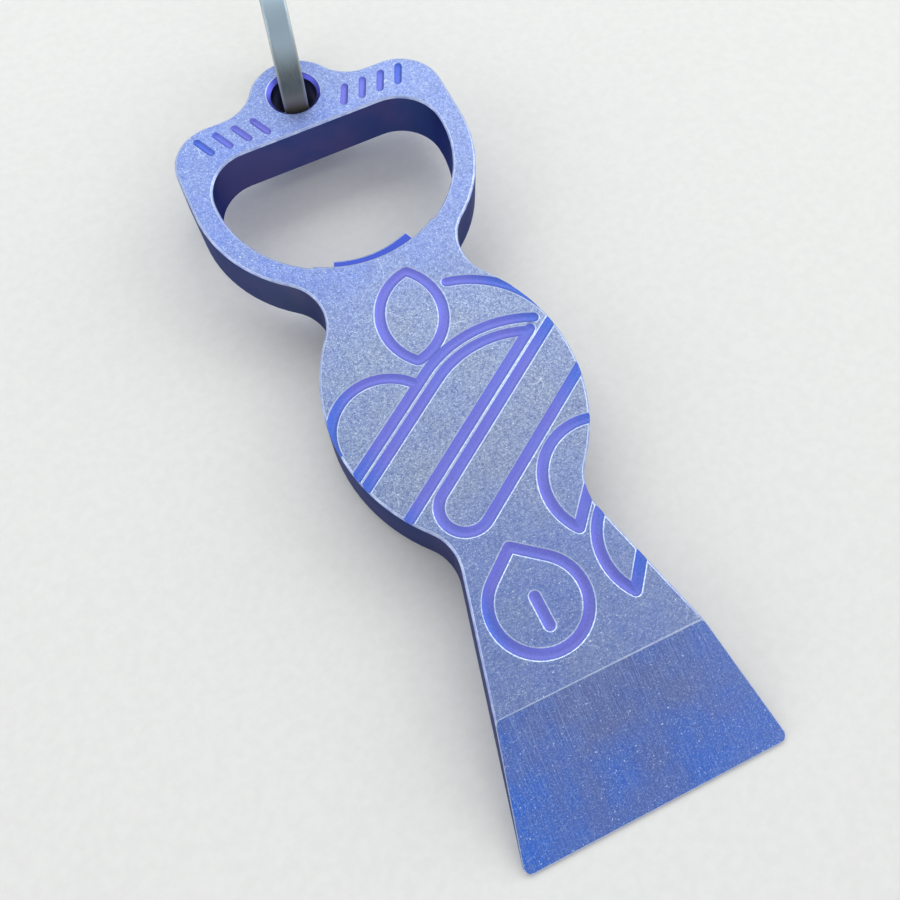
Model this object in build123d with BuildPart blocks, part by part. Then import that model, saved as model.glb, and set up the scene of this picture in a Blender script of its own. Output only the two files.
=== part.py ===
"""Flat one-piece keychain bottle opener with a scraper tip, and the key ring through its lug.

Millimetres. The plate lies flat: back face on Z = 0, top face up, long axis along Y with the
ring lug at +Y and the scraper tip at -Y. The plate is symmetric about X = 0 apart from the
grooves in its top face. Y = 0 is half way along the plate.
"""
import os
from math import acos, atan2, cos, degrees, hypot, radians, sin, sqrt, tan

from build123d import *

os.makedirs("parts", exist_ok=True)

# ---- plate ----
thickness = 6.35
half_length = 48.0
edge_chamfer = 0.2

# ---- head, with the cap opening ----
head_y = 31.2
head_radius = 17.1
shoulder_y = 42.65
shoulder_radius = 5.5
opening_radius = 14.4
opening_top_y = 37.1
opening_corner_radius = 5.5
seat_radius = 14.15
seat_half_angle = 31.4
tooth_radius = 11.35
tooth_half_angle = 23.5
tooth_thickness = 3.05
tooth_chamfer = 0.15

# ---- ring lug ----
lug_y = 42.35
lug_radius = 5.65
lug_root_radius = 5.4
bore_y = 42.9
bore_radius = 2.85
countersink = 0.5

# ---- round body, waist and flared tip ----
body_y = -1.95
body_radius = 19.95
body_half_width = 13.85
neck_radius = 5.65
waist_radius = 5.4
tip_half_width = 14.75
flare_angle = 14.0
tip_corner_radius = 0.8
bevel_y = -34.5
tip_edge = 0.35

# ---- grooves, cut by a ball-ended tool ----
groove_width = 1.3
groove_depth = 0.24
slash_width = 0.9
slash_depth = 0.25
slash_length = 2.4
slash_y = 39.9
band_angle = 34.0
band_pitch = 1.5

# ---- key ring: one turn of flat strip with its ends butted ----
ring_radius = 10.0
ring_thickness = 1.3
ring_width = 3.0
ring_edge_radius = 0.4
ring_gap = 0.3
ring_gap_angle = -20.0
ring_turn = 12.0
ring_lift = 37.0
pivot_reach = 3.76
pivot_to_ring = 5.1


def polar(centre, radius, angle):
    """Point at an angle in degrees round a centre."""
    return (centre[0] + radius * cos(radians(angle)), centre[1] + radius * sin(radians(angle)))


def bearing(start, end):
    """Direction in degrees from one point to another."""
    return degrees(atan2(end[1] - start[1], end[0] - start[0]))


def arc(centre, radius, start, end):
    """Circular arc between two angles in degrees."""
    return CenterArc(centre, radius, start, end - start)


def ball_radius(width, depth):
    """Radius of the ball that leaves a groove of this width at this depth."""
    return (width * width / 4 + depth * depth) / (2 * depth)


# ---- centres and tangent angles of the half outline, from the lug down to the tip ----
head = (0, head_y)
lug = (0, lug_y)
body = (body_half_width - body_radius, body_y)

root_y = shoulder_y + lug_root_radius
root = (sqrt((lug_radius + lug_root_radius) ** 2 - (root_y - lug_y) ** 2), root_y)
shoulder = (head_radius - shoulder_radius, shoulder_y - shoulder_radius)

# The neck arc touches the head circle and the body circle from outside.
head_to_body = hypot(body[0] - head[0], body[1] - head[1])
from_head = head_radius + neck_radius
from_body = body_radius + neck_radius
along = (from_head ** 2 - from_body ** 2 + head_to_body ** 2) / (2 * head_to_body)
neck_turn = degrees(atan2(sqrt(from_head ** 2 - along ** 2), along))
neck = polar(head, from_head, bearing(head, body) + neck_turn)

# The waist arc touches the body circle and the straight flare.
tip = (tip_half_width, -half_length)
flare_start = polar(tip, waist_radius, flare_angle)
up_x = -sin(radians(flare_angle))
up_y = cos(radians(flare_angle))
off_x = flare_start[0] - body[0]
off_y = flare_start[1] - body[1]
off_along = off_x * up_x + off_y * up_y
off_squared = off_x ** 2 + off_y ** 2
rise = -off_along - sqrt(off_along ** 2 - off_squared + (body_radius + waist_radius) ** 2)
waist = (flare_start[0] + rise * up_x, flare_start[1] + rise * up_y)

tip_corner_inset = tip_corner_radius * (1 + sin(radians(flare_angle))) / cos(radians(flare_angle))
tip_corner = (tip_half_width - tip_corner_inset, tip_corner_radius - half_length)

# ---- cap opening: a big lower arc, two upper corners and a straight upper edge ----
corner_y = opening_top_y - opening_corner_radius
corner_x = sqrt((opening_radius - opening_corner_radius) ** 2 - (corner_y - head_y) ** 2)
corner = (corner_x, corner_y)
corner_start = bearing(head, corner)


# ---- bevel and groove geometry ----
overrun = 5.0
bevel_slope = (thickness - tip_edge) / (half_length + bevel_y)
band_drop = band_pitch / cos(radians(band_angle))
return_radius = 2.7
groove_ball = ball_radius(groove_width, groove_depth)
slash_ball = ball_radius(slash_width, slash_depth)
groove_level = Plane.XY.offset(thickness + groove_ball - groove_depth)
slash_level = Plane.XY.offset(thickness + slash_ball - slash_depth)
leaf_foot = (-1.7, 3.1)
leaf_tip = (1.7, 13.9)
drop_centre = (-2.4, -26.2)
drop_radius = 5.0
drop_height = 6.4


def band(offset, start_x, end_x):
    """End points of a slanted line that crosses X = 0 at this height."""
    rise_per_x = tan(radians(band_angle))
    return (start_x, offset + rise_per_x * start_x), (end_x, offset + rise_per_x * end_x)


def circles_of(part, radius):
    """Circular edges of this radius."""
    circles = part.edges().filter_by(GeomType.CIRCLE)
    return circles.filter_by(lambda edge: abs(edge.radius - radius) < 0.001)


def cut_groove(path, ball=groove_ball, start_ball=False, end_ball=False):
    """Run the ball along a line drawn at the height of its centre."""
    wire = path.wire()
    with BuildSketch(Plane(origin=wire @ 0, z_dir=wire % 0)) as section:
        Circle(ball)
    sweep(sections=section.sketch, path=wire, mode=Mode.SUBTRACT)
    ends = [wire @ 0] * start_ball + [wire @ 1] * end_ball
    for end in ends:
        with Locations(end):
            Sphere(ball - 0.01, mode=Mode.SUBTRACT)


def sector_outline(inner, half_angle):
    """Closed line round a sector of the opening's lower edge, rooted inside the head."""
    outer = opening_radius + 1
    low = -90 - half_angle
    high = -90 + half_angle
    arc(head, inner, low, high)
    arc(head, outer, low, high)
    Line(polar(head, inner, low), polar(head, outer, low))
    Line(polar(head, inner, high), polar(head, outer, high))


with BuildPart() as opener_body:
    # Plate with its cap opening.
    with BuildSketch():
        with BuildLine():
            arc(lug, lug_radius, 90, bearing(lug, root))
            arc(root, lug_root_radius, bearing(root, lug), -90)
            Line((root[0], shoulder_y), (shoulder[0], shoulder_y))
            arc(shoulder, shoulder_radius, 90, 0)
            Line((head_radius, shoulder[1]), (head_radius, head_y))
            arc(head, head_radius, 0, bearing(head, neck))
            arc(neck, neck_radius, bearing(neck, head), bearing(neck, body) + 360)
            arc(body, body_radius, bearing(body, neck), bearing(body, waist))
            arc(waist, waist_radius, bearing(waist, body), 180 + flare_angle)
            Line(
                polar(waist, waist_radius, 180 + flare_angle),
                polar(tip_corner, tip_corner_radius, flare_angle),
            )
            arc(tip_corner, tip_corner_radius, flare_angle, -90)
            Line((tip_corner[0], -half_length), (0, -half_length))
            mirror(about=Plane.YZ)
        make_face()
        with BuildLine():
            Line((0, opening_top_y), (corner_x, opening_top_y))
            arc(corner, opening_corner_radius, 90, corner_start)
            arc(head, opening_radius, corner_start, -90)
            mirror(about=Plane.YZ)
        make_face(mode=Mode.SUBTRACT)
    extrude(amount=thickness)
    flat_faces = opener_body.faces().filter_by(Axis.Z)
    chamfer(flat_faces.edges(), length=edge_chamfer)

    # Lip seat on the lower edge of the opening.
    with BuildSketch():
        with BuildLine():
            sector_outline(seat_radius, seat_half_angle)
        make_face()
    extrude(amount=thickness)
    chamfer(circles_of(opener_body, seat_radius), length=edge_chamfer)

    # Tooth that hooks under the cap, flush with the back face.
    with BuildSketch():
        with BuildLine():
            sector_outline(tooth_radius, tooth_half_angle)
        make_face()
    extrude(amount=tooth_thickness)
    chamfer(circles_of(opener_body, tooth_radius), length=tooth_chamfer)

    # Ring hole through the lug, countersunk on both faces.
    with BuildSketch():
        with Locations((0, bore_y)):
            Circle(bore_radius)
    extrude(amount=thickness, mode=Mode.SUBTRACT)
    chamfer(circles_of(opener_body, bore_radius), length=countersink)

    # Scraper bevel on the top side of the tip.
    with BuildSketch(Plane.YZ):
        with BuildLine():
            Polyline(
                (bevel_y, thickness),
                (-half_length - overrun, tip_edge - overrun * bevel_slope),
                (-half_length - overrun, thickness + overrun),
                (bevel_y, thickness + overrun),
                close=True,
            )
        make_face()
    extrude(amount=2 * tip_half_width, both=True, mode=Mode.SUBTRACT)

    # Two long double bands; the upper pair bends over to the right edge.
    for offset, bend_radius, bend_x, end_angle in (
        (2.55, 14.0, -1.8, 65),
        (2.55 - band_drop, 12.0, -0.9, 66),
    ):
        start, bend = band(offset, -15.5, bend_x)
        bend_centre = polar(bend, bend_radius, band_angle - 90)
        with BuildLine(groove_level) as groove_path:
            Line(start, bend)
            arc(bend_centre, bend_radius, band_angle + 90, end_angle)
        cut_groove(groove_path, end_ball=True)
    with BuildLine(groove_level) as groove_path:
        Line(*band(-6.0, 10.95, -13.5))
    cut_groove(groove_path, start_ball=True)

    # The lower band turns back on itself and runs out at the right edge.
    right_end, turn = band(-6.0 - band_drop, 15.5, -6.0)
    turn_centre = polar(turn, return_radius, band_angle - 90)
    back = polar(turn_centre, return_radius, band_angle - 90)
    with BuildLine(groove_level) as groove_path:
        Line(right_end, turn)
        arc(turn_centre, return_radius, band_angle + 90, band_angle + 270)
        Line(back, polar(back, 23, band_angle))
    cut_groove(groove_path)

    # Hoop at the left edge, and the sweep across the upper right edge.
    with BuildLine(groove_level) as groove_path:
        arc((-8.0, -3.0), 6.1, 38, 185)
    cut_groove(groove_path, start_ball=True)
    with BuildLine(groove_level) as groove_path:
        arc((2.9, -0.4), 11.3, 78, 12)
    cut_groove(groove_path, start_ball=True)

    # Leaf in the upper half, made of two arcs.
    with BuildLine(groove_level) as groove_path:
        RadiusArc(leaf_foot, leaf_tip, 6.3)
    cut_groove(groove_path, start_ball=True, end_ball=True)
    with BuildLine(groove_level) as groove_path:
        RadiusArc(leaf_foot, leaf_tip, -6.3)
    cut_groove(groove_path)

    # Drop with a short stroke inside it.
    drop_angle = degrees(acos(drop_radius / drop_height))
    drop_top = (drop_centre[0], drop_centre[1] + drop_height)
    for side in (-1, 1):
        with BuildLine(groove_level) as groove_path:
            Line(drop_top, polar(drop_centre, drop_radius, 90 - side * drop_angle))
            arc(drop_centre, drop_radius, 90 - side * drop_angle, 90 - side * 180)
        cut_groove(groove_path, start_ball=side == 1)
    with BuildLine(groove_level) as groove_path:
        Line((drop_centre[0], -25.4), (drop_centre[0], -28.6))
    cut_groove(groove_path, start_ball=True, end_ball=True)

    # Two pointed bows that open at the right edge, each with a stroke back to the edge.
    for bow_centre, bow_radius, open_angle, point_angle, mouth in (
        ((10.1, -17.2), 6.5, 58, 217, (9.6, -15.8)),
        ((12.25, -25.3), 6.7, 114, 216, (11.4, -23.5)),
    ):
        with BuildLine(groove_level) as groove_path:
            arc(bow_centre, bow_radius, open_angle, point_angle)
        cut_groove(groove_path, end_ball=True)
        with BuildLine(groove_level) as groove_path:
            Line(polar(bow_centre, bow_radius, point_angle), mouth)
        cut_groove(groove_path)

    # Short slanted strokes on both sides of the lug.
    for side in (-1, 1):
        for step in range(4):
            middle = (side * (5.5 + 2.4 * step), slash_y)
            lean = 90 - 25 * side
            with BuildLine(slash_level) as groove_path:
                Line(polar(middle, slash_length / 2, lean), polar(middle, slash_length / 2, lean + 180))
            cut_groove(groove_path, slash_ball, start_ball=True, end_ball=True)

opener_body.part.label = "opener_body"
export_step(opener_body.part, "parts/opener_body.step")

# ---- key ring, standing up through the lug ----
ring_bearing = 90 - ring_turn
ring_forward = Vector(*polar((0, 0), 1, ring_bearing), 0)
ring_normal = Vector(*polar((0, 0), 1, -ring_turn), 0)
pivot = Vector(*polar((0, bore_y), pivot_reach, ring_bearing), thickness / 2)
lift = radians(ring_lift)
ring_centre = pivot + pivot_to_ring * (ring_forward * cos(lift) + Vector(0, 0, sin(lift)))
gap_sweep = degrees(ring_gap / ring_radius)
strip_start = radians(ring_gap_angle + gap_sweep / 2)
strip_out = ring_forward * cos(strip_start) + Vector(0, 0, sin(strip_start))

with BuildPart() as key_ring:
    with BuildSketch(Plane(origin=ring_centre, x_dir=strip_out, z_dir=strip_out.cross(ring_normal))):
        with Locations((ring_radius - ring_thickness / 2, 0)):
            RectangleRounded(ring_thickness, ring_width, ring_edge_radius)
    revolve(axis=Axis(ring_centre, ring_normal), revolution_arc=360 - gap_sweep)

key_ring.part.label = "key_ring"
export_step(key_ring.part, "parts/key_ring.step")
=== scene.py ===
"""Looks for the keychain bottle opener: a blue-violet anodised titanium plate and its steel ring.

The scene is in metres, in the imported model's own frame: back face on Z = 0, ring lug at +Y. The named
dimensions are in millimetres, and MM turns them into metres.
"""

from math import cos, pi, radians, sin

import bmesh
import bpy
from mathutils import Matrix, Vector


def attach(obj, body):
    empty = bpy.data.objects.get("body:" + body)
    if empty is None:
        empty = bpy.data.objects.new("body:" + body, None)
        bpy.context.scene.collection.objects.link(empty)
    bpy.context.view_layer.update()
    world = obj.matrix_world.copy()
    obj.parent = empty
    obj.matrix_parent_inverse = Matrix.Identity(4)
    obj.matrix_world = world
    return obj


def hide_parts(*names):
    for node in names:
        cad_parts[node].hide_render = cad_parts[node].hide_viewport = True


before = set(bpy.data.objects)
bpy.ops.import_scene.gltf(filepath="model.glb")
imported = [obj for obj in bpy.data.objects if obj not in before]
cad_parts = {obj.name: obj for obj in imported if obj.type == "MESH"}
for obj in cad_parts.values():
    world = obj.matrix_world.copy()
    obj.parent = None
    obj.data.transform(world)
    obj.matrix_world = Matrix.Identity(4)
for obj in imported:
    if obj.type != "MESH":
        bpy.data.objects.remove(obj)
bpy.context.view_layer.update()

MM = 0.001

# ---- driving dimensions of the plate, in millimetres ----
THICKNESS = 6.35
TIP_Y = -48.0
BEVEL_Y = -34.5
GROOVE_DEPTH = 0.24
TOOTH_THICKNESS = 3.05
BORE_Y = 42.9
COUNTERSINK_RADIUS = 3.35
BODY_Y = -1.95
HEAD_Y = 31.2
OPENING_RADIUS = 14.4

# ---- the short strokes beside the lug: their row, and half its height and width ----
SLASH_Y = 39.9
SLASH_HALF_HEIGHT = 1.6
SLASH_HALF_WIDTH = 14.5

# ---- the outline between the head and the tip, as a wave: half width and how far it swings ----
OUTLINE_HALF_WIDTH = 11.4
OUTLINE_SWING = 2.8
OUTLINE_LENGTH = 45
OUTLINE_MIDDLE = -3.0

# ---- the ring's middle and axis, and where the painted highlights along its strip's edges start and end ----
RING_CENTRE = (1.629, 50.562, 6.244)
RING_AXIS = (0.97815, -0.20791, 0.0)
EDGE_HIGHLIGHT_FROM = 1.1
EDGE_HIGHLIGHT_TO = 1.42

# ---- how a face is recognised: the Z (or X) of its normal, and how far off its place may be ----
FLAT = 0.999
NOT_LEVEL = 0.9
BEVEL_FACING = 0.8
BEVEL_SIDEWAYS = 0.01
CHAMFER_FROM = 0.67
CHAMFER_TO = 0.74
LEANING = 0.1
GROOVE_FACING = 0.02
SLACK = 0.02
FINE_SLACK = 0.01

# ---- the plate's visual mesh: worn rims and clean-up, in millimetres and degrees ----
RIM_WIDTH = 0.07
CREASE_WIDTH = 0.1
SHORTEST_RIM_EDGE = 0.12
SHARP_ANGLE = 20
SAME_POINT = 0.002
SAME_GROOVE_POINT = 0.03
GROOVE_STEP = 0.8
ON_CUT = 0.01
UNFOLD_PASSES = 6
FOLDED_ANGLE = 150
SLIVER_SIDE = 0.2
SMOOTH_ANGLE = 24


def srgb(red, green, blue):
    """Linear colour of 8-bit display values."""
    def linear(value):
        value /= 255
        return value / 12.92 if value <= 0.04045 else ((value + 0.055) / 1.055) ** 2.4
    return (linear(red), linear(green), linear(blue), 1.0)


# ---------------------------------------------------------------- materials

class Shade:
    """A procedural metal: node helpers round one Principled shader."""

    def __init__(self, name, metallic, roughness):
        self.material = bpy.data.materials.new(name)
        self.material.use_nodes = True
        self.tree = self.material.node_tree
        self.tree.nodes.clear()
        self.shader = self.add("BsdfPrincipled")
        output = self.add("OutputMaterial")
        self.tree.links.new(self.shader.outputs[0], output.inputs[0])
        self.shader.inputs["Metallic"].default_value = metallic
        self.shader.inputs["Roughness"].default_value = roughness
        place = self.add("TexCoord").outputs["Object"]
        self.place = self.vector("SCALE", place, scale=1 / MM)

    def add(self, kind, settings=None, **inputs):
        """A node with its settings, and its inputs set or linked by name."""
        node = self.tree.nodes.new("ShaderNode" + kind)
        for key, value in (settings or {}).items():
            setattr(node, key, value)
        for key, value in inputs.items():
            self.feed(node.inputs[key.replace("_", " ").title()], value)
        return node

    def feed(self, socket, value):
        """Links a socket to another one, or sets its value."""
        if isinstance(value, bpy.types.NodeSocket):
            self.tree.links.new(value, socket)
        else:
            socket.default_value = value

    def vector(self, operation, first, second=None, scale=None):
        """One step of vector arithmetic."""
        node = self.add("VectorMath", {"operation": operation})
        self.feed(node.inputs[0], first)
        if second is not None:
            self.feed(node.inputs[1], second)
        if scale is not None:
            self.feed(node.inputs["Scale"], scale)
        return node.outputs["Value" if operation == "DOT_PRODUCT" else "Vector"]

    def math(self, operation, *values, clamp=False):
        """One step of arithmetic."""
        node = self.add("Math", {"operation": operation, "use_clamp": clamp})
        for socket, value in zip(node.inputs, values):
            self.feed(socket, value)
        return node.outputs[0]

    def axes(self):
        """The X, Y and Z of the place in millimetres."""
        return self.add("SeparateXYZ", vector=self.place).outputs

    def from_axis(self, x, y):
        """How far a place is from an upright line, in millimetres."""
        off = self.vector("SUBTRACT", self.place, (x, y, 0))
        node = self.add("VectorMath", {"operation": "LENGTH"})
        self.feed(node.inputs[0], self.vector("MULTIPLY", off, (1, 1, 0)))
        return node.outputs["Value"]

    def ramp(self, value, low, high, start=0.0, end=1.0):
        """Maps low..high smoothly onto start..end."""
        node = self.add("MapRange", {"interpolation_type": "SMOOTHSTEP"})
        for socket, number in zip(node.inputs, (value, low, high, start, end)):
            self.feed(socket, number)
        return node.outputs[0]

    def turned(self, angle, stretch):
        """The place turned about Z and scaled, for streaks that run one way."""
        node = self.add("Mapping", {"vector_type": "POINT"}, vector=self.place)
        node.inputs["Rotation"].default_value = (0, 0, radians(angle))
        node.inputs["Scale"].default_value = stretch
        return node.outputs[0]

    def noise(self, scale, detail=3.0, roughness=0.55, place=None):
        """Smooth noise, with this many features to the millimetre."""
        node = self.add("TexNoise", vector=place or self.place, scale=scale,
                        detail=detail, roughness=roughness)
        return node.outputs[0]

    def mix(self, factor, first, second, blend="MIX"):
        """The first colour at factor 0, the second one, or the two blended, at factor 1."""
        node = self.add("Mix", {"data_type": "RGBA", "blend_type": blend})
        self.feed(node.inputs[0], factor)
        self.feed(node.inputs[6], first)
        self.feed(node.inputs[7], second)
        return node.outputs[2]

    def grit(self, scale, low, high):
        """Irregular tiny dents, where fine noise is high."""
        return self.ramp(self.noise(scale, 2.0, 0.7), low, high)

    def fibres(self, angles, length, width, rarity, seed):
        """Short straight marks of the tumbling media, in several directions."""
        total = None
        for index, angle in enumerate(angles):
            place = self.vector("ADD", self.turned(angle, (1 / length, 1 / width, 1 / length)),
                                (seed + 17.0 * index, 5.0 * index, 0))
            marks = self.ramp(self.noise(1.0, 0.0, 0.4, place), rarity, rarity + 0.08)
            total = marks if total is None else self.math("MAXIMUM", total, marks)
        return total

    def scratches(self, scale, width, share):
        """A few long hairlines: pieces of the edges between big random cells."""
        bent = self.add("TexNoise", vector=self.place, scale=scale * 1.7, detail=2.0)
        shift = self.vector("SCALE", bent.outputs["Color"], scale=0.9 / scale)
        place = self.vector("ADD", self.place, shift)
        node = self.add("TexVoronoi", {"feature": "DISTANCE_TO_EDGE"}, vector=place, scale=scale)
        line = self.ramp(node.outputs["Distance"], width * scale, 0.2 * width * scale)
        kept = self.ramp(self.noise(scale * 2.3, 1.0), 1 - share, 1.04 - share)
        return self.math("MULTIPLY", line, kept)

    def colour(self, value):
        """Sets the base colour."""
        self.feed(self.shader.inputs["Base Color"], value)

    def rough(self, value):
        """Sets the roughness."""
        self.feed(self.shader.inputs["Roughness"], value)

    def bump(self, height, distance, strength=1.0):
        """Relief too fine for the mesh, this many millimetres high."""
        node = self.add("Bump", strength=strength, distance=distance * MM, height=height)
        self.feed(self.shader.inputs["Normal"], node.outputs[0])


def stonewashed():
    """Top and back: anodised, then tumbled until it is speckled with tiny bright marks."""
    look = Shade("titanium_stonewashed", 0.85, 0.5)
    across, along, _ = look.axes()
    grain = look.noise(3.4, 5.0, 0.9)
    patches = look.noise(0.2, 3.0, 0.6)
    handled = look.ramp(look.math("ABSOLUTE", look.math("SUBTRACT", along, BODY_Y)), 21.0, 7.0)
    worn = look.math("ADD", look.math("MULTIPLY", handled, 0.65), look.ramp(patches, 0.3, 0.7, 0.0, 0.35))
    fresh = look.mix(look.ramp(along, -9.0, -24.0), srgb(130, 149, 213), srgb(124, 145, 206))
    oxide = look.mix(worn, fresh, srgb(158, 170, 188))
    oxide = look.mix(look.ramp(across, -2.0, 14.0, 0.0, 0.22), oxide, srgb(176, 188, 222))
    oxide = look.mix(look.ramp(across, -2.0, -16.0, 0.0, 0.3), oxide, srgb(112, 136, 196))
    pits = look.mix(look.math("MULTIPLY_ADD", handled, 0.2, 0.6), oxide, srgb(80, 94, 156))
    dark = look.mix(look.ramp(grain, 0.36, 0.62), pits, oxide)
    share = look.math("MULTIPLY_ADD", handled, 0.18, 0.46)
    fine = look.math("MULTIPLY", look.grit(7.0, 0.52, 0.68), share)
    marked = look.mix(fine, dark, srgb(210, 224, 240))
    fibres = look.fibres((8, 71, 128), 0.5, 0.07, 0.72, 3.0)
    marked = look.mix(look.math("MULTIPLY", fibres, 0.35), marked, srgb(206, 220, 240))
    specks = look.grit(3.8, 0.665, 0.72)
    marked = look.mix(look.math("MULTIPLY", specks, 0.9), marked, srgb(228, 238, 250))
    curls = look.scratches(0.6, 0.05, 0.4)
    marked = look.mix(look.math("MULTIPLY", curls, 0.36), marked, srgb(214, 228, 246))
    hairs = look.scratches(0.09, 0.06, 0.44)
    look.colour(look.mix(look.math("MULTIPLY", hairs, 0.5), marked, srgb(212, 224, 242)))
    look.rough(look.ramp(grain, 0.3, 0.7, 0.56, 0.46))
    dents = look.math("MULTIPLY", look.math("MAXIMUM", curls, specks), -0.5)
    look.bump(look.math("MULTIPLY_ADD", grain, 0.5, dents), 0.015, 0.4)
    return look.material


def painted_edge_blue(look):
    """How near the plate's outline a place is, 0 to 1: the groove colour gets a painted bluish reflection
    tint there.
    """
    across, along, _ = look.axes()
    turn = look.math("MULTIPLY", look.math("SUBTRACT", along, OUTLINE_MIDDLE), 2 * pi / OUTLINE_LENGTH)
    wave = look.math("COSINE", turn)
    half_width = look.math("MULTIPLY_ADD", wave, OUTLINE_SWING, OUTLINE_HALF_WIDTH)
    return look.ramp(look.math("DIVIDE", look.math("ABSOLUTE", across), half_width), 0.62, 1.0)


def grooved():
    """Groove floors: smooth violet, with painted shade on the slope turned to the lug and a painted
    bluish reflection tint near the edges.
    """
    look = Shade("titanium_groove", 0.55, 0.6)
    normal = look.add("TexCoord").outputs["Normal"]
    facing = look.vector("DOT_PRODUCT", normal, (0.25, -0.96, 0))
    clouds = look.ramp(look.noise(0.22, 2.0, 0.5), 0.35, 0.65)
    violet = look.mix(look.math("MULTIPLY", clouds, 0.5), srgb(120, 128, 234), srgb(122, 118, 224))
    # Painted reflection tint: the groove colour turns bluer towards the outline.
    tone = look.mix(painted_edge_blue(look), violet, srgb(74, 116, 230))
    # Painted shade: the slopes turned towards the lug are darkened in the colour itself.
    painted_slope_shade = look.mix(look.ramp(facing, -0.5, 0.6), (0.68, 0.69, 0.6, 1), (1, 1, 1, 1))
    tone = look.mix(1.0, tone, painted_slope_shade, "MULTIPLY")
    grain = look.noise(6.0, 3.0, 0.7)
    look.colour(look.mix(look.ramp(grain, 0.4, 0.75, 0.0, 0.3), tone, srgb(164, 164, 240)))
    look.rough(look.ramp(grain, 0.3, 0.7, 0.46, 0.56))
    look.bump(grain, 0.012, 0.4)
    return look.material


def walled():
    """Side walls: dark blue-violet, finely milled along the outline."""
    look = Shade("titanium_wall", 0.9, 0.42)
    look.shader.inputs["Specular Tint"].default_value = srgb(120, 130, 180)
    cutter = look.noise(1.0, 2.0, 0.6, look.turned(0, (0.35, 0.35, 9.0)))
    clouds = look.ramp(look.noise(0.12, 2.0, 0.5), 0.38, 0.62)
    outside = look.ramp(look.from_axis(0, HEAD_Y), OPENING_RADIUS + 0.3, OPENING_RADIUS + 1.0)
    inner = look.mix(clouds, srgb(96, 94, 152), srgb(70, 88, 150))
    tone = look.mix(outside, inner, look.mix(clouds, srgb(108, 108, 142), srgb(92, 102, 138)))
    milled = look.mix(0.5, tone, srgb(110, 112, 180))
    look.colour(look.mix(look.ramp(cutter, 0.45, 0.8, 0.0, 0.2), tone, milled))
    look.rough(look.ramp(cutter, 0.3, 0.7, 0.38, 0.48))
    look.bump(cutter, 0.008, 0.5)
    return look.material


def chamfered():
    """Broken edges: grey-blue, rubbed nearly bare in places."""
    look = Shade("titanium_chamfer", 0.45, 0.4)
    wear = look.noise(0.8, 4.0, 0.6)
    look.colour(look.mix(look.ramp(wear, 0.38, 0.68), srgb(156, 170, 226), srgb(196, 210, 246)))
    look.rough(look.ramp(wear, 0.3, 0.7, 0.46, 0.34))
    look.bump(wear, 0.01, 0.4)
    return look.material


def bare():
    """Rims where the tumbling has rubbed the oxide right off."""
    look = Shade("titanium_bare_rim", 0.75, 0.42)
    wear = look.noise(3.0, 3.0, 0.7)
    look.colour(look.mix(look.ramp(wear, 0.3, 0.6), srgb(166, 182, 226), srgb(202, 216, 242)))
    look.rough(look.ramp(wear, 0.3, 0.7, 0.5, 0.36))
    return look.material


def ground():
    """The bevel: belt-ground on a slant, then anodised, so it is deep blue with fine lines."""
    look = Shade("titanium_ground", 0.85, 0.46)
    across, along, _ = look.axes()
    lines = look.noise(1.0, 3.0, 0.75, look.turned(30.0, (9.0, 0.25, 0.25)))
    down = look.ramp(along, BEVEL_Y - 2.0, TIP_Y + 1.0)
    outward = look.ramp(look.math("ABSOLUTE", look.math("SUBTRACT", across, 1.5)), 5.0, 15.0)
    clouds = look.ramp(look.noise(0.16, 3.0, 0.6), 0.3, 0.7, -0.25, 0.25)
    blue = look.math("ADD", look.math("MULTIPLY_ADD", down, 0.45, clouds),
                     look.math("MULTIPLY", outward, 0.4), clamp=True)
    tone = look.mix(blue, srgb(104, 116, 168), srgb(38, 112, 222))
    tone = look.mix(look.ramp(across, 2.0, 14.0, 0.0, 0.25), tone, srgb(126, 152, 226))
    tone = look.mix(look.ramp(look.noise(3.4, 5.0, 0.9), 0.6, 0.36, 0.0, 0.4), tone, srgb(44, 66, 132))
    fresh = look.ramp(along, BEVEL_Y - 9.0, BEVEL_Y)
    share = look.math("MULTIPLY_ADD", fresh, 0.4, 0.38)
    strokes = look.math("MULTIPLY", look.ramp(lines, 0.42, 0.72), share)
    tone = look.mix(strokes, tone, srgb(140, 162, 214))
    curls = look.scratches(0.9, 0.045, 0.38)
    marked = look.mix(look.math("MULTIPLY", curls, 0.38), tone, srgb(176, 198, 238))
    marked = look.mix(look.math("MULTIPLY", look.grit(6.0, 0.52, 0.68), 0.5), marked, srgb(160, 182, 228))
    specks = look.grit(3.8, 0.66, 0.72)
    look.colour(look.mix(look.math("MULTIPLY", specks, 0.9), marked, srgb(212, 228, 250)))
    look.rough(look.ramp(lines, 0.3, 0.7, 0.42, 0.52))
    look.bump(lines, 0.01, 0.5)
    return look.material


def hooked():
    """The tooth's step: the most saturated blue on the plate."""
    look = Shade("titanium_step", 0.85, 0.42)
    sweep = look.noise(1.0, 2.0, 0.5, look.turned(20, (6.0, 0.5, 0.5)))
    look.colour(look.mix(look.ramp(sweep, 0.4, 0.8, 0.0, 0.4), srgb(62, 80, 176), srgb(84, 100, 192)))
    look.rough(look.ramp(sweep, 0.3, 0.7, 0.38, 0.48))
    look.bump(sweep, 0.01, 0.4)
    return look.material


def bored():
    """Ring hole: violet-blue countersink, very dark wall."""
    look = Shade("titanium_bore", 0.9, 0.4)
    _, _, up = look.axes()
    turning = look.noise(1.0, 2.0, 0.5, look.turned(0, (0.3, 0.3, 10.0)))
    countersink = look.ramp(up, THICKNESS - 0.75, THICKNESS - 0.45)
    tone = look.mix(countersink, srgb(26, 32, 88), srgb(92, 98, 208))
    look.colour(look.mix(look.ramp(turning, 0.5, 0.8, 0.0, 0.25), tone, srgb(120, 128, 220)))
    look.rough(look.ramp(turning, 0.3, 0.7, 0.34, 0.44))
    look.bump(turning, 0.008, 0.4)
    return look.material


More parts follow.
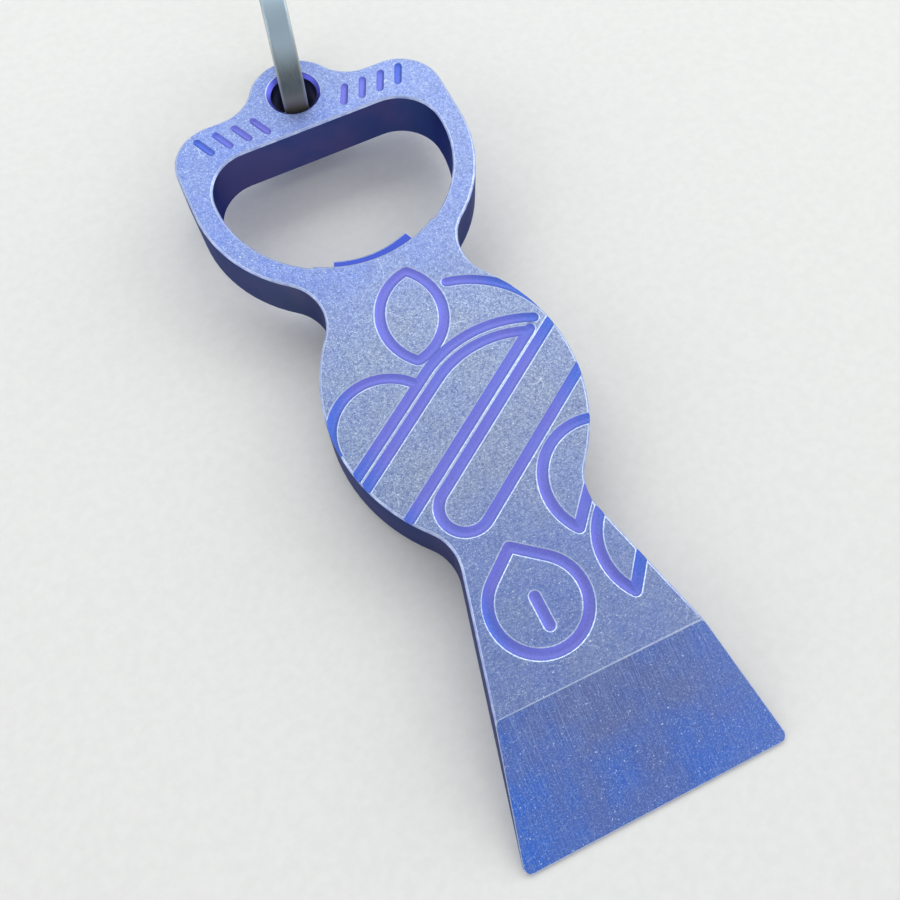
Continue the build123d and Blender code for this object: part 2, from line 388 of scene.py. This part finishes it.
def ring_steel():
    """Flat strip, lightly brushed, with a painted warm reflection where it runs in the hole, a painted
    bluish sky reflection higher up and painted highlights along its edges.
    """
    look = Shade("steel_brushed_strip", 0.7, 0.42)
    _, _, up = look.axes()
    brushed = look.noise(1.0, 3.0, 0.6, look.turned(0, (14.0, 1.1, 1.1)))
    clouds = look.noise(0.4, 2.0, 0.5)
    sideways = look.vector("DOT_PRODUCT", look.vector("SUBTRACT", look.place, RING_CENTRE), RING_AXIS)
    # Painted highlight: the strip is lightened along both its edges.
    edge = look.ramp(look.math("ABSOLUTE", sideways), EDGE_HIGHLIGHT_FROM, EDGE_HIGHLIGHT_TO)
    # Painted reflections: a warm wood-coloured tint low down in the hole, a bluish sky tint higher up.
    painted_reflection_height = look.ramp(up, THICKNESS + 0.7, THICKNESS + 3.2)
    tone = look.mix(painted_reflection_height, srgb(176, 170, 146), srgb(108, 119, 121))
    tone = look.mix(look.ramp(up, THICKNESS + 4.0, THICKNESS + 8.0), tone, srgb(168, 188, 202))
    tone = look.mix(look.ramp(clouds, 0.35, 0.65, 0.0, 0.2), tone, srgb(160, 172, 178))
    tone = look.mix(look.ramp(brushed, 0.45, 0.8, 0.0, 0.35), tone, srgb(176, 184, 188))
    look.colour(look.mix(look.math("MULTIPLY", edge, 0.55), tone, srgb(206, 212, 208)))
    look.rough(look.ramp(brushed, 0.3, 0.7, 0.38, 0.46))
    look.bump(brushed, 0.006, 0.5)
    return look.material


def pale_floor():
    """The studio floor: matt and pale, with the faintest mottling."""
    look = Shade("studio_floor", 0.0, 0.85)
    paper = look.noise(0.9, 4.0, 0.6)
    look.colour(look.mix(look.ramp(paper, 0.3, 0.7), srgb(232, 230, 226), srgb(236, 234, 230)))
    look.bump(paper, 0.01, 0.1)
    return look.material


# ---------------------------------------------------------------- the plate

SLOTS = ("top", "groove", "wall", "chamfer", "rim", "bevel", "step", "bore")
MAKERS = (stonewashed, grooved, walled, chamfered, bare, ground, hooked, bored)
FLAT_SLOTS = {SLOTS.index(name) for name in ("top", "bevel", "step")}


def in_slashes(place):
    """Whether a place in millimetres is among the short strokes beside the lug."""
    return abs(place.y - SLASH_Y) < SLASH_HALF_HEIGHT and abs(place.x) < SLASH_HALF_WIDTH


def surface_of(face):
    """Which finish a face of the plate has, from where it is and how it faces, surest signs first."""
    normal = face.normal
    centre = face.calc_center_median() / MM
    from_bore = (Vector((centre.x, centre.y)) - Vector((0, BORE_Y))).length
    if from_bore < COUNTERSINK_RADIUS - FINE_SLACK and abs(normal.z) < NOT_LEVEL:
        return "bore"
    if abs(normal.z) > FLAT and abs(centre.z - TOOTH_THICKNESS) < SLACK:
        return "step"
    if abs(normal.z) > FLAT and min(abs(centre.z), abs(centre.z - THICKNESS)) < FINE_SLACK:
        return "top"
    if normal.z > BEVEL_FACING and centre.y < BEVEL_Y and abs(normal.x) < BEVEL_SIDEWAYS:
        return "bevel"
    if CHAMFER_FROM < abs(normal.z) < CHAMFER_TO and not in_slashes(centre):
        return "chamfer"
    groove_floor = THICKNESS - GROOVE_DEPTH - SLACK
    if normal.z > GROOVE_FACING and centre.z > groove_floor and centre.y > BEVEL_Y:
        return "groove"
    if abs(normal.z) > LEANING:
        return "chamfer"
    return "wall"


def once(elements):
    """The elements without repeats, in their own order, so that every run gives the same mesh."""
    return list(dict.fromkeys(elements))


def worn_edges(bm, crease):
    """Edges round the flat faces that get a bare rim; the bevel's upper crease is asked for apart."""
    kept = []
    for edge in bm.edges:
        kinds = {face.material_index for face in edge.link_faces}
        if len(edge.link_faces) != 2 or len(kinds) != 2 or not kinds & FLAT_SLOTS:
            continue
        middle = (edge.verts[0].co + edge.verts[1].co) / (2 * MM)
        is_crease = kinds == {SLOTS.index("top"), SLOTS.index("bevel")}
        is_sharp = edge.calc_face_angle(0) > radians(SHARP_ANGLE)
        if is_crease == crease and is_sharp and not in_slashes(middle):
            kept.append(edge)
    return kept


def cut_across(bm, slot, spacing):
    """Cuts the faces of one finish at even steps along Y, so that smooth shading stays local."""
    step = TIP_Y
    while step < -TIP_Y:
        near = [face for face in bm.faces if face.material_index == slot
                and min(v.co.y for v in face.verts) < step * MM < max(v.co.y for v in face.verts)]
        edges = once(edge for face in near for edge in face.edges)
        verts = once(vert for face in near for vert in face.verts)
        if near:
            bmesh.ops.bisect_plane(bm, geom=near + edges + verts, dist=ON_CUT * MM,
                                   plane_co=(0, step * MM, 0), plane_no=(0, 1, 0))
        step += spacing
    bm.normal_update()


def unfold(bm):
    """Clears the slivers that lie folded over where two rims meet at a sharp angle."""
    for _ in range(UNFOLD_PASSES):
        bm.normal_update()
        folded = [edge for edge in bm.edges if edge.calc_face_angle(0) > radians(FOLDED_ANGLE)]
        alike = [edge for edge in folded if len({face.material_index for face in edge.link_faces}) == 1]
        if alike:
            bmesh.ops.dissolve_edges(bm, edges=alike, use_verts=False, use_face_split=False)
            continue
        merged = {}
        for edge in folded:
            sliver = min(edge.link_faces, key=lambda face: face.calc_area())
            short = min(sliver.edges, key=lambda side: side.calc_length())
            used = set(merged) | set(merged.values())
            if short.calc_length() < SLIVER_SIDE * MM and not used & set(short.verts):
                merged[short.verts[0]] = short.verts[1]
        bmesh.ops.weld_verts(bm, targetmap=merged)
        bmesh.ops.dissolve_degenerate(bm, edges=bm.edges, dist=SAME_POINT * MM)
    bmesh.ops.delete(bm, geom=[edge for edge in bm.edges if not edge.link_faces], context="EDGES")
    bm.normal_update()


def opener_mesh(node):
    """The plate's CAD mesh, welded, with its worn edges rounded off and a finish on every face."""
    bm = bmesh.new()
    bm.from_mesh(node.data)
    bmesh.ops.remove_doubles(bm, verts=bm.verts, dist=SAME_POINT * MM)
    bmesh.ops.dissolve_degenerate(bm, edges=bm.edges, dist=SAME_POINT * MM)
    bm.normal_update()
    for face in bm.faces:
        face.material_index = SLOTS.index(surface_of(face))
    grooves = [face for face in bm.faces if face.material_index == SLOTS.index("groove")]
    wide = once(vert for face in grooves for vert in face.verts if not in_slashes(vert.co / MM))
    bmesh.ops.remove_doubles(bm, verts=wide, dist=SAME_GROOVE_POINT * MM)
    tight = once(vert for edge in worn_edges(bm, False) for vert in edge.verts)
    bmesh.ops.remove_doubles(bm, verts=tight, dist=SHORTEST_RIM_EDGE * MM)
    bmesh.ops.dissolve_degenerate(bm, edges=bm.edges, dist=SAME_POINT * MM)
    for crease, width in ((True, CREASE_WIDTH), (False, RIM_WIDTH)):
        bmesh.ops.bevel(bm, geom=worn_edges(bm, crease), offset=width * MM, offset_type="OFFSET",
                        segments=1, profile=0.5, affect="EDGES", clamp_overlap=False,
                        material=SLOTS.index("rim"), loop_slide=True)
        unfold(bm)
    cut_across(bm, SLOTS.index("groove"), GROOVE_STEP)
    for face in bm.faces:
        face.smooth = face.material_index not in FLAT_SLOTS
    for edge in bm.edges:
        edge.smooth = edge.calc_face_angle(pi) < radians(SMOOTH_ANGLE)
    mesh = bpy.data.meshes.new("opener_plate")
    bm.to_mesh(mesh)
    bm.free()
    for maker in MAKERS:
        mesh.materials.append(maker())
    return mesh


plate_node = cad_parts["opener_body"]
plate = bpy.data.objects.new("opener_plate", opener_mesh(plate_node))
bpy.context.collection.objects.link(plate)
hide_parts("opener_body")
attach(plate, "opener")

# ---------------------------------------------------------------- the ring

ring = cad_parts["key_ring"]
ring.data.materials.clear()
ring.data.materials.append(ring_steel())

# ---------------------------------------------------------------- floor, lights and camera

# The ring passes under the lug, so the plate lies on its tip and on the ring.
tip_y = TIP_Y * MM
low_points = [v.co for v in ring.data.vertices if v.co.z < 0]
floor_slope = max(-co.z / (co.y - tip_y) for co in low_points)
floor_mesh = bpy.data.meshes.new("studio_floor")
FLOOR_HALF = 1.6
corners = [(x * FLOOR_HALF, y * FLOOR_HALF, -floor_slope * (y * FLOOR_HALF - tip_y))
           for x, y in ((-1, -1), (1, -1), (1, 1), (-1, 1))]
floor_mesh.from_pydata(corners, [], [(0, 1, 2, 3)])
floor = bpy.data.objects.new("studio_floor", floor_mesh)
floor_mesh.materials.append(pale_floor())
bpy.context.collection.objects.link(floor)


def softbox(name, place, width, height, brightness, colour=(1, 1, 1)):
    """A rectangular area light of a given brightness, aimed at the middle of the plate."""
    data = bpy.data.lights.new(name, "AREA")
    data.shape = "RECTANGLE"
    data.size = width
    data.size_y = height
    data.energy = brightness * pi * width * height
    data.color = colour
    lamp = bpy.data.objects.new(name, data)
    lamp.location = place
    lamp.rotation_euler = (-Vector(place)).to_track_quat("-Z", "Y").to_euler()
    bpy.context.collection.objects.link(lamp)


softbox("sky_far", (0.05, 0.42, 0.42), 0.7, 0.4, 2.0, (0.92, 0.98, 1.0))
softbox("sky_near", (0.1, -0.5, 0.4), 0.6, 0.4, 0.8, (0.96, 0.98, 1.0))
softbox("sky_left", (-0.5, 0.1, 0.3), 0.4, 0.4, 1.1)
softbox("sky_right", (0.5, 0.1, 0.3), 0.4, 0.4, 1.9)
softbox("sky_top", (0.05, 0.0, 0.6), 0.4, 0.4, 0.1)

world = bpy.data.worlds.new("studio")
world.use_nodes = True
world.node_tree.nodes["Background"].inputs["Color"].default_value = (0.93, 0.96, 1.0, 1)
world.node_tree.nodes["Background"].inputs["Strength"].default_value = 0.5
bpy.context.scene.world = world
bpy.context.scene.view_settings.view_transform = "Standard"

# The camera stands over the tip end and looks down the plate towards the lug.
EYE = Vector((-19.29, -43.07, 103.29)) * MM
AZIMUTH = radians(-24.527)
ELEVATION = radians(68.189)
ROLL = radians(-1.295)
SENSOR_MM = 36
LENS_MM = 40.04
back = Vector((sin(AZIMUTH) * cos(ELEVATION), -cos(AZIMUTH) * cos(ELEVATION), sin(ELEVATION)))
level = Vector((cos(AZIMUTH), sin(AZIMUTH), 0))
upward = back.cross(level)
right = level * cos(ROLL) + upward * sin(ROLL)
up = upward * cos(ROLL) - level * sin(ROLL)
camera_data = bpy.data.cameras.new("camera")
camera_data.sensor_width = SENSOR_MM
camera_data.lens = LENS_MM
camera_data.clip_start = 0.005
camera_data.clip_end = 20
camera = bpy.data.objects.new("camera", camera_data)
camera.matrix_world = Matrix.Translation(EYE) @ Matrix((right, up, back)).transposed().to_4x4()
bpy.context.collection.objects.link(camera)
bpy.context.scene.camera = camera
